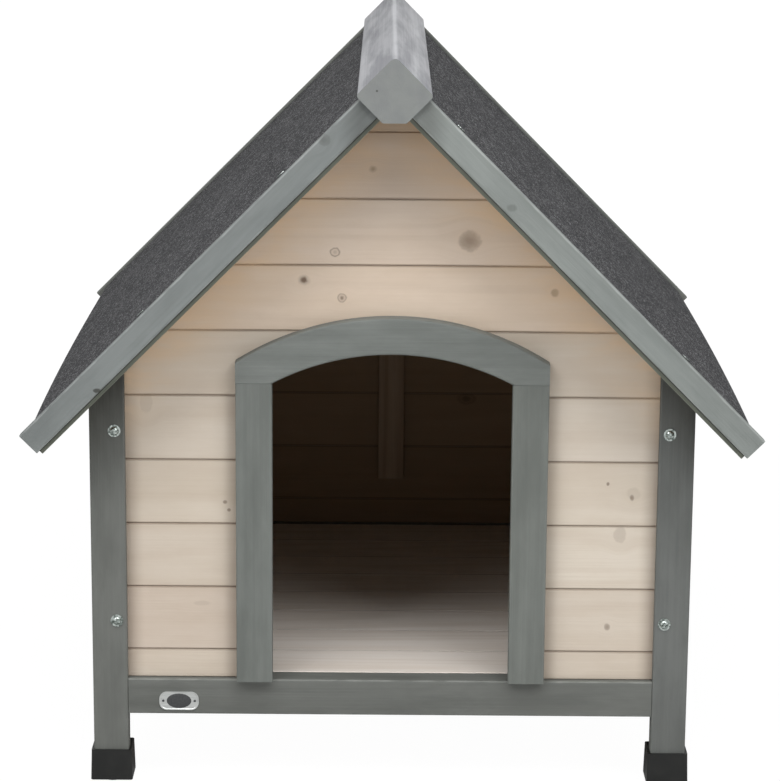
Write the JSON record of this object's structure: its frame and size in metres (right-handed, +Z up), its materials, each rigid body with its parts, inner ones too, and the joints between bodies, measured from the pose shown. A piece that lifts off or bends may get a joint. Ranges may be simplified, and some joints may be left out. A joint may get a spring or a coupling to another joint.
{
  "type": "dog house",
  "caption": "Raised wooden dog house with a steep saddle roof under felt, tongue-and-groove walls, a grey frame and an arched doorway in its gable.",
  "frame": {"origin": "on the ground, under the middle of the house's bounding box", "axes": "+Z up, the doorway looks along -Y, the ridge runs along Y, +X to the right of someone facing the back wall"},
  "size_m": [0.7784, 0.88, 0.8014],
  "materials": {
    "grey_timber": "blue-grey stain, the grain shows through",
    "wall_boards": "thin white-cream glaze, the grain and knots show through",
    "bare_pine": "planed pine",
    "roof_felt": "mineral granules on bitumen felt",
    "foot_plastic": "moulded, slightly textured",
    "zinc_screw": "zinc plated"
  },
  "bodies": {
    "house": {"door_arch": "grey_timber", "door_trim_left": "grey_timber", "door_trim_right": "grey_timber", "floor_ledgers": "bare_pine", "foot_caps": "foot_plastic", "front_board_01_left": "wall_boards", "front_board_01_right": "wall_boards", "front_board_02_left": "wall_boards", "front_board_02_right": "wall_boards", "front_board_03_left": "wall_boards", "front_board_03_right": "wall_boards", "front_board_04_left": "wall_boards", "front_board_04_right": "wall_boards", "front_board_05_left": "wall_boards", "front_board_05_right": "wall_boards", "front_board_06": "wall_boards", "front_board_07": "wall_boards", "front_board_08": "wall_boards", "front_board_09": "wall_boards", "front_board_10": "wall_boards", "front_bottom_rail": "grey_timber", "front_gable_batten": "bare_pine", "front_post_left": "grey_timber", "front_post_right": "grey_timber", "left_bottom_rail": "grey_timber", "left_eaves_rail": "grey_timber", "left_side_boards": "wall_boards", "left_side_posts": "grey_timber", "rear_board_01": "wall_boards", "rear_board_02": "wall_boards", "rear_board_03": "wall_boards", "rear_board_04": "wall_boards", "rear_board_05": "wall_boards", "rear_board_06": "wall_boards", "rear_board_07": "wall_boards", "rear_board_08": "wall_boards", "rear_board_09": "wall_boards", "rear_board_10": "wall_boards", "rear_bottom_rail": "grey_timber", "rear_gable_batten": "bare_pine", "rear_post_left": "grey_timber", "rear_post_right": "grey_timber", "ridge_beam": "grey_timber", "right_bottom_rail": "grey_timber", "right_eaves_rail": "grey_timber", "right_side_boards": "wall_boards", "right_side_posts": "grey_timber", "roof_battens_left": "grey_timber", "roof_battens_right": "grey_timber", "roof_deck_left": "bare_pine", "roof_deck_right": "bare_pine", "roof_felt_left": "roof_felt", "roof_felt_right": "roof_felt", "verge_board_front_left": "grey_timber", "verge_board_front_right": "grey_timber", "verge_board_rear_left": "grey_timber", "verge_board_rear_right": "grey_timber", "wall_screws": "zinc_screw"},
    "floor": {"floor_boards": "bare_pine", "floor_cleats": "bare_pine"}
  },
  "joints": [
    {"name": "floor_lift", "type": "slide", "parent": "house", "child": "floor", "axis": [0, 0, 1], "range_m": [0, 0.06]}
  ]
}
